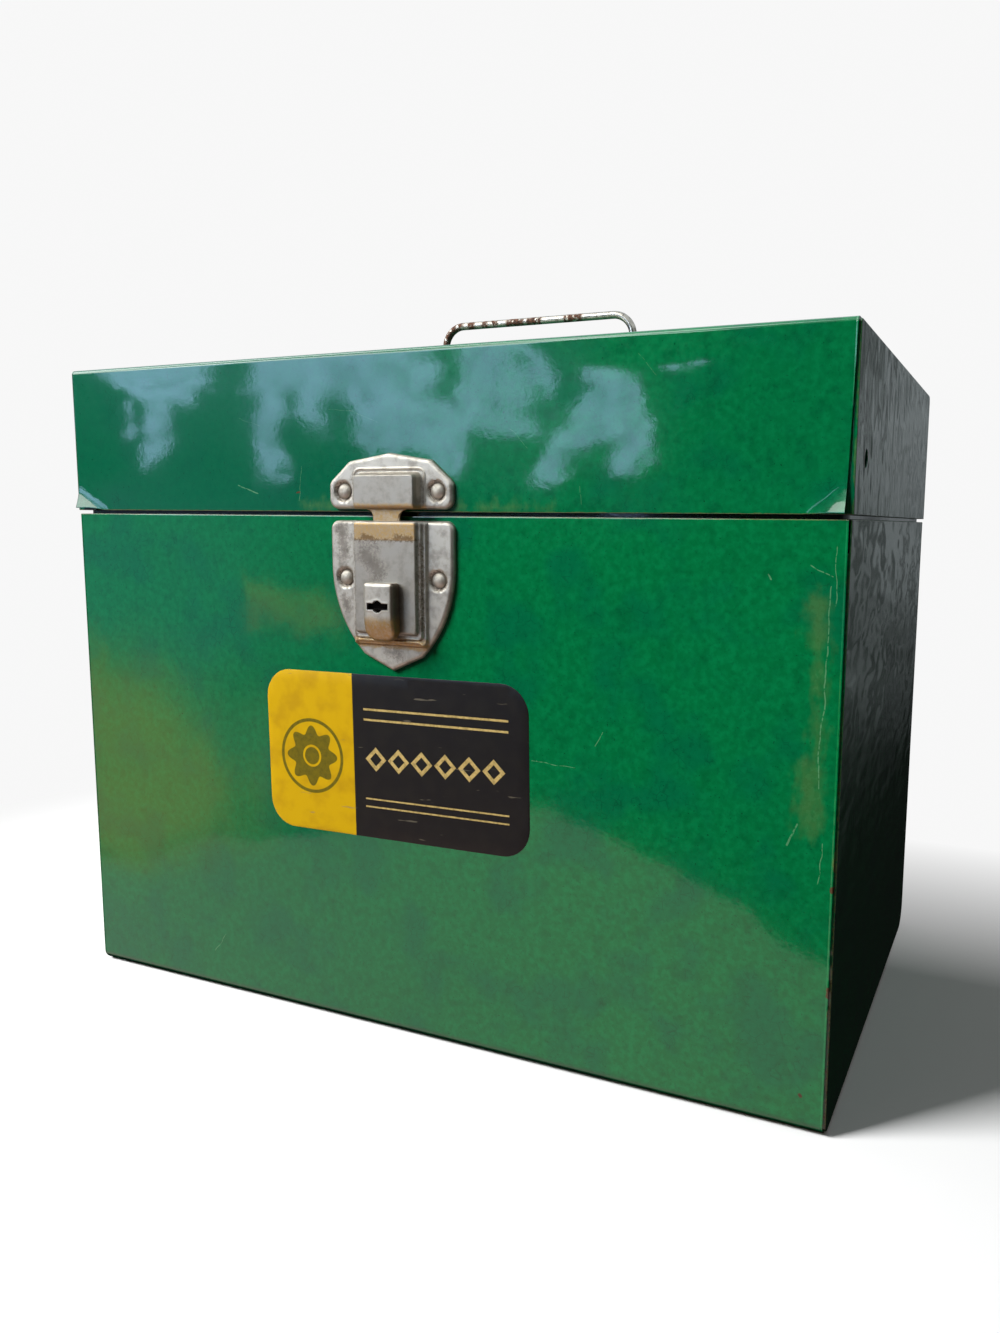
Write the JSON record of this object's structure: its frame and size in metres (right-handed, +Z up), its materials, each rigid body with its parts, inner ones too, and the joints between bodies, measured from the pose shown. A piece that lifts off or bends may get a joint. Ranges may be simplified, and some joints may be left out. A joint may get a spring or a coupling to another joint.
{
  "type": "deed box",
  "caption": "Upright steel deed box in green enamel, with a lid hinged at the back, a nickel snap latch with a key slot in its thumb slide, and a wire bail handle.",
  "frame": {"origin": "centre of the body's flat underside", "axes": "+X to the right as the latch is faced, +Y to the back, where the hinges are, +Z up"},
  "size_m": [0.3184, 0.213, 0.2831],
  "materials": {
    "enamel": "glossy mottled green baked enamel, scratched and chipped at the edges",
    "label": "thin printed label, black and yellow, without lettering",
    "nickel": "satin nickel plate, tarnished and worn to brass tone on the lower faces",
    "lock_steel": "plain steel, dull"
  },
  "bodies": {
    "body": {"body_wrap": "enamel", "body_end_left": "enamel", "body_end_right": "enamel", "body_collar": "enamel", "label": "label", "latch_plate": "nickel", "latch_plate_rivets": "nickel", "latch_inner_plate": "lock_steel", "bolt_spring": "lock_steel", "hinge_left_body_leaf": "nickel", "hinge_right_body_leaf": "nickel", "hinge_left_pin": "lock_steel", "hinge_right_pin": "lock_steel", "hinge_body_rivets": "nickel"},
    "lid": {"lid_wrap": "enamel", "lid_end_left": "enamel", "lid_end_right": "enamel", "hinge_left_lid_leaf": "nickel", "hinge_right_lid_leaf": "nickel", "hinge_lid_rivets": "nickel", "hasp_plate": "nickel", "hasp_tongue": "nickel", "hasp_rivets": "nickel", "handle_clip_left": "nickel", "handle_clip_right": "nickel", "handle_clip_rivets": "nickel"},
    "slide": {"thumb_slide": "nickel", "slide_core": "lock_steel", "latch_bolt": "lock_steel"},
    "cam": {"key_cam": "lock_steel"},
    "handle": {"handle_wire": "nickel"}
  },
  "joints": [
    {"name": "lid_hinge", "type": "hinge", "parent": "body", "child": "lid", "pos_m": [0, 0.1016, 0.1967], "axis": [-1, 0, 0], "range_deg": [0, 180]},
    {"name": "latch_slide", "type": "slide", "parent": "body", "child": "slide", "axis": [0, 0, -1], "range_m": [0, 0.004], "stiffness_N_per_m": 800, "springref_m": -0.004, "deforming": ["bolt_spring"]},
    {"name": "key_turn", "type": "hinge", "parent": "slide", "child": "cam", "pos_m": [-0.0022, -0.1068, 0.1642], "axis": [0, 1, 0], "range_deg": [0, 90]},
    {"name": "handle_fold", "type": "hinge", "parent": "lid", "child": "handle", "pos_m": [0.002, 0.0063, 0.2559], "axis": [1, 0, 0], "range_deg": [-90, 90]}
  ]
}
